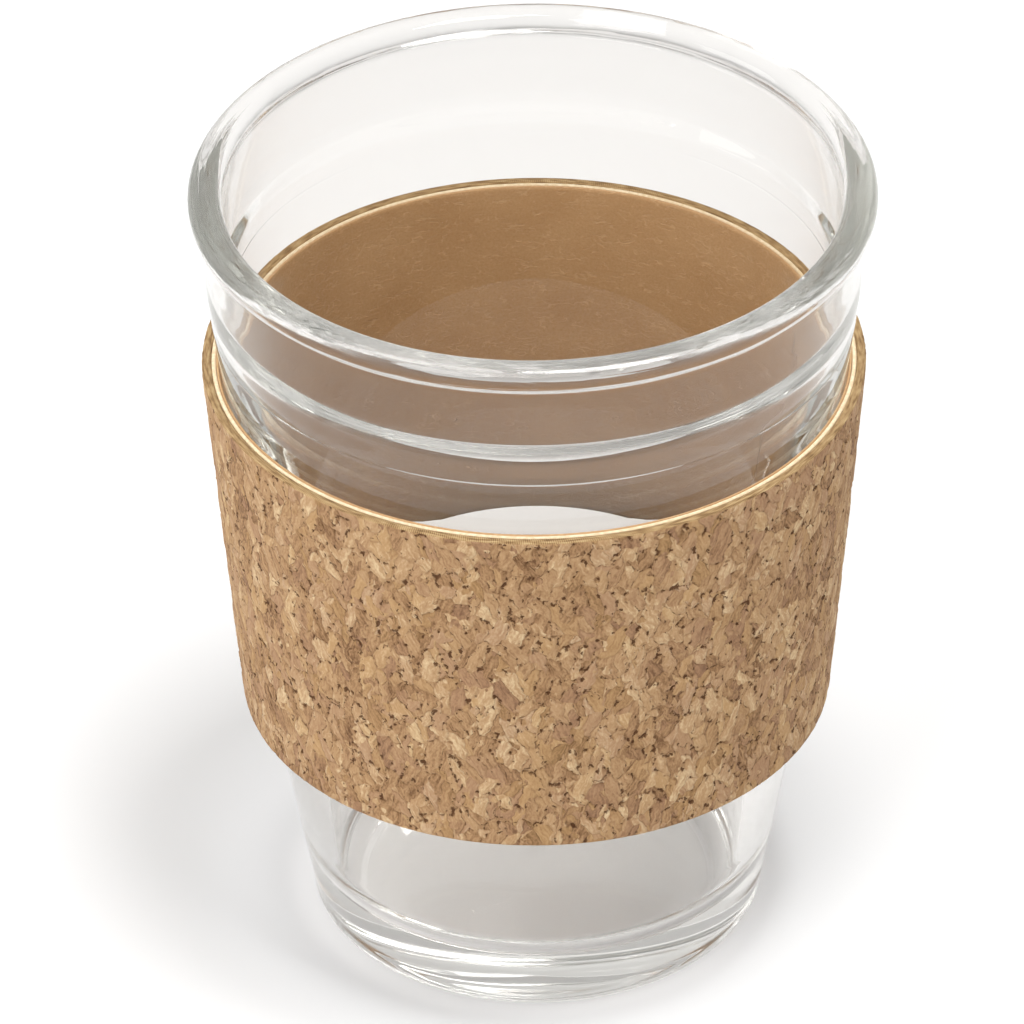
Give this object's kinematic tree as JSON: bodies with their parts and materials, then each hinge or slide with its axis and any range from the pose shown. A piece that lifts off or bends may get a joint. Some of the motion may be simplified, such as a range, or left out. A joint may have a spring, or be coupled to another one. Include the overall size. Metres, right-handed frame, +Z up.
{
  "type": "glass tumbler with cork sleeve",
  "caption": "Tapered clear glass tumbler with a rolled rim and heavy base, in a slip-on cork sleeve with a tan lining.",
  "frame": {"origin": "on the cup's axis, on the surface that the cup stands on", "axes": "+Z up along the cup's axis towards the mouth, -Y towards the viewer, sleeve seam between +X and +Y"},
  "size_m": [0.088, 0.088, 0.11],
  "materials": {
    "clear_glass": "clear pressed glass, fire polished",
    "cork": "sanded granulated cork, matte",
    "cream_backing": "matte cut edge of a cream backing",
    "tan_lining": "smooth tan artificial leather, satin"
  },
  "bodies": {
    "glass": {"glass_tumbler": "clear_glass"},
    "sleeve": {"cork_sheet": "cork", "sleeve_backing": "cream_backing", "sleeve_lining": "tan_lining"}
  },
  "joints": [
    {"name": "sleeve_slide", "type": "slide", "parent": "glass", "child": "sleeve", "axis": [0, 0, -1], "range_m": [0, 0.033]}
  ]
}
